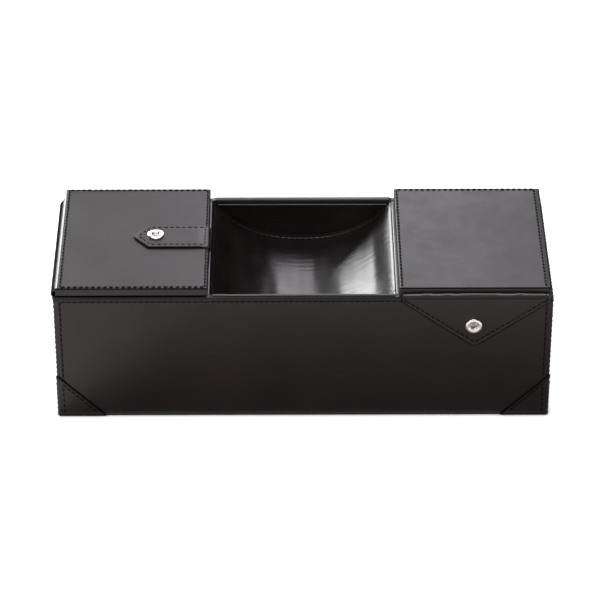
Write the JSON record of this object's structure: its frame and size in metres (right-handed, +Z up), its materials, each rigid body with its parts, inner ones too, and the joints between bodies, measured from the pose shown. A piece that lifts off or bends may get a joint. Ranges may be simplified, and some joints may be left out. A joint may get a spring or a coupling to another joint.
{
  "type": "valet box with drawer",
  "caption": "Long leather-covered valet box: hinged lids at both ends, one with a snap strap and one with an envelope flap, an open curved tray between, and a drawer in the right end.",
  "frame": {"origin": "middle of the base, on the surface the box stands on", "axes": "+X to the right end that holds the drawer, -Y out of the front, +Z up"},
  "size_m": [0.3652, 0.1399, 0.1151],
  "materials": {
    "outer_leather": "black smooth-grain leather, satin",
    "scoop_leather": "black leather, polished",
    "backing_leather": "thin black leather, flesh side out",
    "suede_lining": "charcoal suede cloth",
    "board": "fibreboard",
    "drawer_wood": "black-stained fibreboard",
    "nickel": "polished nickel",
    "base_felt": "black felt"
  },
  "bodies": {
    "carcass": {"base_pad": "base_felt", "base_board": "board", "front_board": "board", "back_board": "board", "left_end_board": "board", "right_end_board": "board", "right_end_post_front": "board", "right_end_post_back": "board", "right_end_sill": "board", "drawer_shelf": "board", "left_divider": "board", "right_divider": "board", "drawer_rail_front": "drawer_wood", "drawer_rail_back": "drawer_wood", "front_leather": "outer_leather", "back_leather": "outer_leather", "left_end_leather": "outer_leather", "right_end_leather": "outer_leather", "left_divider_cover": "outer_leather", "right_divider_cover": "outer_leather", "tray_scoop": "scoop_leather", "tray_lining_back": "scoop_leather", "tray_lining_front": "scoop_leather", "left_compartment_lining": "suede_lining", "right_compartment_lining": "suede_lining", "front_snap_stud": "nickel", "front_snap_rivet": "nickel", "corner_patch_back_right": "outer_leather", "corner_patch_back_left": "outer_leather", "corner_patch_front_right": "outer_leather", "corner_patch_front_left": "outer_leather"},
    "left_lid": {"left_lid_leather": "outer_leather", "left_lid_board": "board", "left_lid_lining": "suede_lining", "left_lid_hinge": "outer_leather", "lid_snap_stud": "nickel", "lid_snap_rivet": "nickel", "strap_fixed_end": "outer_leather"},
    "strap": {"strap_leather": "outer_leather", "strap_backing": "backing_leather", "strap_snap_cap": "nickel", "strap_snap_socket": "nickel"},
    "right_lid": {"right_lid_leather": "outer_leather", "right_lid_board": "board", "right_lid_lining": "suede_lining", "right_lid_hinge": "outer_leather"},
    "flap": {"flap_leather": "outer_leather", "flap_backing": "backing_leather", "flap_snap_cap": "nickel", "flap_snap_socket": "nickel"},
    "drawer": {"drawer_floor": "drawer_wood", "drawer_side_front": "drawer_wood", "drawer_side_back": "drawer_wood", "drawer_rear_board": "drawer_wood", "drawer_front_board": "drawer_wood", "drawer_front_leather": "outer_leather", "drawer_lining": "suede_lining", "drawer_pull_tab": "outer_leather", "drawer_pull_rivet": "nickel"}
  },
  "joints": [
    {"name": "left_lid_hinge", "type": "hinge", "parent": "carcass", "child": "left_lid", "pos_m": [-0.178, 0, 0.1052], "axis": [0, -1, 0], "range_deg": [0, 105]},
    {"name": "strap_bend", "type": "hinge", "parent": "left_lid", "child": "strap", "pos_m": [-0.0734, 0.0005, 0.1126], "axis": [0, 1, 0], "range_deg": [0, 100]},
    {"name": "right_lid_hinge", "type": "hinge", "parent": "carcass", "child": "right_lid", "pos_m": [0.1227, 0.0674, 0.1052], "axis": [-1, 0, 0], "range_deg": [0, 105]},
    {"name": "flap_bend", "type": "hinge", "parent": "right_lid", "child": "flap", "pos_m": [0.1227, -0.0679, 0.1062], "axis": [-1, 0, 0], "range_deg": [0, 100]},
    {"name": "drawer_slide", "type": "slide", "parent": "carcass", "child": "drawer", "axis": [1, 0, 0], "range_m": [0, 0.22]}
  ]
}
